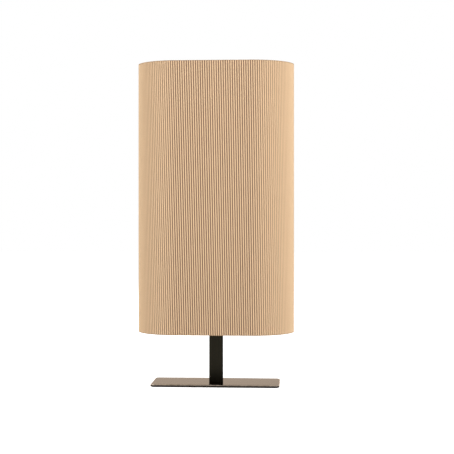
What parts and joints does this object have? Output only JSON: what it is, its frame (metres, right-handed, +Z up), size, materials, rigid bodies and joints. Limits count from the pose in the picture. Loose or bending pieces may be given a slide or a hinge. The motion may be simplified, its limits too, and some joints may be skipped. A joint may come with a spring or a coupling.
{
  "type": "table lamp",
  "caption": "Table lamp with a tall oblong shade of pleated paper on a flat black post and a rounded rectangular base plate; the shade lifts off.",
  "frame": {"origin": "on the table under the middle of the post, at the bottom centre of the whole lamp", "axes": "+Z up along the post, +X along the base plate to the right as seen from the front, -Y towards the viewer in front"},
  "size_m": [0.286, 0.15, 0.587],
  "materials": {
    "black_lacquer": "gloss",
    "foam": "matte",
    "zinc_steel": "satin",
    "black_nylon": "matte",
    "lead_sheath": "matte",
    "core_brown": "matte",
    "core_blue": "matte",
    "holder_plastic": "satin",
    "holder_ceramic": "satin",
    "contact_brass": "satin",
    "cap_nickel": "satin",
    "cap_glass": "gloss",
    "opal_glass": "gloss",
    "stem_white": "matte",
    "shade_paper": "matte",
    "liner_sheet": "satin",
    "frame_white": "satin"
  },
  "bodies": {
    "stand": {"foot_pad": "foam", "base_plate": "black_lacquer", "base_screws": "zinc_steel", "post_foot_block": "zinc_steel", "post_tube": "black_lacquer", "cable_bush": "black_nylon", "inner_lead": "lead_sheath", "live_core": "core_brown", "neutral_core": "core_blue", "post_cap": "black_lacquer", "nipple": "zinc_steel", "nipple_washer": "zinc_steel", "nipple_nut": "zinc_steel", "nipple_grub_screw": "zinc_steel", "lampholder_cap": "holder_plastic", "lampholder_insert": "holder_ceramic", "lampholder_skirt": "holder_plastic", "terminal_screws": "contact_brass", "centre_contact": "contact_brass", "side_contact": "contact_brass"},
    "bulb": {"bulb_glass": "opal_glass", "bulb_cap": "cap_nickel", "bulb_insulator": "cap_glass", "bulb_contact": "cap_nickel", "bulb_stem": "stem_white"},
    "shade": {"pleated_paper": "shade_paper", "liner": "liner_sheet", "bottom_ring": "frame_white", "top_ring": "frame_white", "stay_front_left": "frame_white", "stay_front_right": "frame_white", "stay_rear_left": "frame_white", "stay_rear_right": "frame_white", "arm_front_left": "frame_white", "arm_front_right": "frame_white", "arm_rear_left": "frame_white", "arm_rear_right": "frame_white", "fitter_ring": "frame_white"},
    "shade_ring": {"shade_ring": "holder_plastic"}
  },
  "joints": [
    {"name": "shade_lift", "type": "slide", "parent": "stand", "child": "shade", "axis": [0, 0, 1], "range_m": [0, 0.38]},
    {"name": "ring_turn", "type": "hinge", "parent": "shade", "child": "shade_ring", "pos_m": [0, 0, 0.278], "axis": [0, 0, 1], "range_deg": [0, 1080]},
    {"name": "bulb_turn", "type": "hinge", "parent": "stand", "child": "bulb", "pos_m": [0, 0, 0.29], "axis": [0, 0, 1], "range_deg": [0, 900]}
  ]
}
